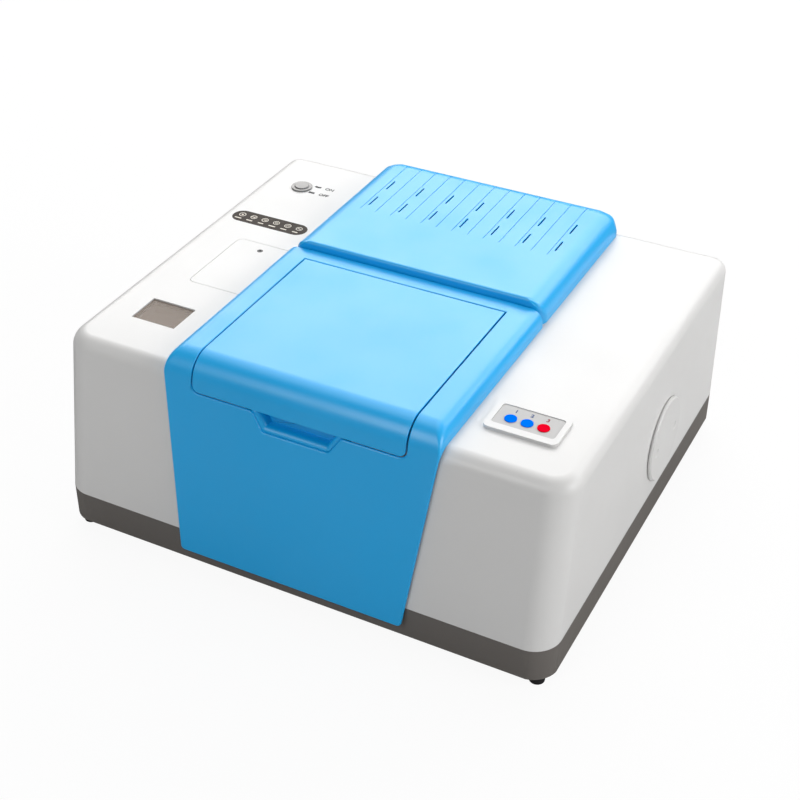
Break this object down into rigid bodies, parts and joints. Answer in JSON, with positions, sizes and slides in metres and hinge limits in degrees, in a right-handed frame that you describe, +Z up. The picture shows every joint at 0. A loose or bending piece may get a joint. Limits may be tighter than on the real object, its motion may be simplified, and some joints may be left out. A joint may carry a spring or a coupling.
{
  "type": "fourier transform infrared spectrometer",
  "caption": "Benchtop infrared spectrometer: grey base, white cover, hinged blue lid over the sample bay, blue vent cover, keypad, power button and side port.",
  "frame": {"origin": "Middle of the overall box in plan, on the surface that the feet stand on.", "axes": "+X to the right of a person facing the front, +Y from the front to the rear, +Z up."},
  "size_m": [0.5036, 0.4552, 0.229],
  "materials": {
    "blue_shell": "satin moulded skin",
    "white_cover": "fine satin texture",
    "grey_base": "satin moulded grey",
    "rubber": "matt black rubber",
    "steel": "plain machined steel",
    "magnet_metal": "plated magnet",
    "black_plastic": "fine matt black",
    "crystal": "polished crystal window",
    "bare_aluminium": "machined",
    "dark_aluminium": "black anodised",
    "mirror_glass": "gold-tinted front mirror",
    "copper_winding": "enamelled copper wire",
    "ceramic": "fired ceramic",
    "gilt_housing": "gold-plated can",
    "board_green": "solder mask",
    "brass_post": "turned brass",
    "port_white": "satin moulded white",
    "amber_plastic": "clear amber canister",
    "dark_screw": "black oxide",
    "smoke_window": "smoked pane",
    "strip_brown": "dark translucent lens",
    "switch_metal": "fine brushed",
    "keypad_grey": "film keypad",
    "key_blue": "glossy dome",
    "key_red": "glossy dome"
  },
  "bodies": {
    "housing": {"base_pan": "grey_base", "feet": "rubber", "foot_screws": "steel", "cover_screws": "steel", "housing_cover": "white_cover", "sample_shroud": "blue_shell", "lid_hinge_pins": "steel", "lid_seal": "rubber", "catch_magnets": "magnet_metal", "vent_cover": "blue_shell", "compartment_tub": "black_plastic", "beam_windows": "crystal", "window_rings": "bare_aluminium", "accessory_plate": "steel", "sample_bracket": "black_plastic", "optical_bench": "bare_aluminium", "bench_mounts": "rubber", "interferometer_block": "dark_aluminium", "beam_splitter": "crystal", "fixed_mirror": "mirror_glass", "carriage_rails": "steel", "drive_magnet": "magnet_metal", "source_housing": "dark_aluminium", "source_element": "ceramic", "collimating_mirror": "mirror_glass", "focusing_mirrors": "mirror_glass", "mirror_posts": "dark_aluminium", "detector_module": "gilt_housing", "laser_tube": "bare_aluminium", "laser_clamps": "black_plastic", "main_board": "board_green", "board_standoffs": "brass_post", "power_supply": "bare_aluminium", "rear_panel": "black_plastic", "power_inlet": "black_plastic", "data_port": "steel", "port_sleeve": "dark_aluminium", "desiccant_cartridge": "amber_plastic", "access_hatch": "white_cover", "hatch_screw": "dark_screw", "window_bezel": "white_cover", "view_window": "smoke_window", "indicator_strip": "strip_brown", "switch_ring": "switch_metal", "switch_body": "black_plastic", "keypad_frame": "white_cover", "keypad_membrane": "keypad_grey", "key_board": "board_green"},
    "lid": {"sample_lid": "blue_shell", "catch_plates": "steel"},
    "cap": {"port_cap": "port_white", "port_seal": "rubber"},
    "button": {"power_button": "switch_metal"},
    "left_key": {"key_left": "key_blue"},
    "middle_key": {"key_middle": "key_blue"},
    "right_key": {"key_right": "key_red"},
    "carriage": {"mirror_carriage": "dark_aluminium", "moving_mirror": "mirror_glass", "drive_coil": "copper_winding"},
    "holder": {"sample_holder": "steel"}
  },
  "joints": [
    {"name": "lid_hinge", "type": "hinge", "parent": "housing", "child": "lid", "pos_m": [-0.00179, 0.00857, 0.215], "axis": [-1, 0, 0], "range_deg": [0, 88]},
    {"name": "cap_turn", "type": "hinge", "parent": "housing", "child": "cap", "pos_m": [0.2477, 0.04858, 0.096], "axis": [1, 0, 0.0098], "range_deg": [0, 45]},
    {"name": "power_press", "type": "slide", "parent": "housing", "child": "button", "axis": [0, 0, -1], "range_m": [0, 0.002], "stiffness_N_per_m": 800, "springref_m": -0.001},
    {"name": "left_key_press", "type": "slide", "parent": "housing", "child": "left_key", "axis": [0, 0, -1], "range_m": [0, 0.0005], "stiffness_N_per_m": 2500, "springref_m": -0.0003},
    {"name": "middle_key_press", "type": "slide", "parent": "housing", "child": "middle_key", "axis": [0, 0, -1], "range_m": [0, 0.0005], "stiffness_N_per_m": 2500, "springref_m": -0.0003},
    {"name": "right_key_press", "type": "slide", "parent": "housing", "child": "right_key", "axis": [0, 0, -1], "range_m": [0, 0.0005], "stiffness_N_per_m": 2500, "springref_m": -0.0003},
    {"name": "mirror_scan", "type": "slide", "parent": "housing", "child": "carriage", "axis": [0, 1, 0], "range_m": [-0.004, 0.004]},
    {"name": "holder_lift", "type": "slide", "parent": "housing", "child": "holder", "axis": [0, 0, 1], "range_m": [0, 0.04]}
  ]
}
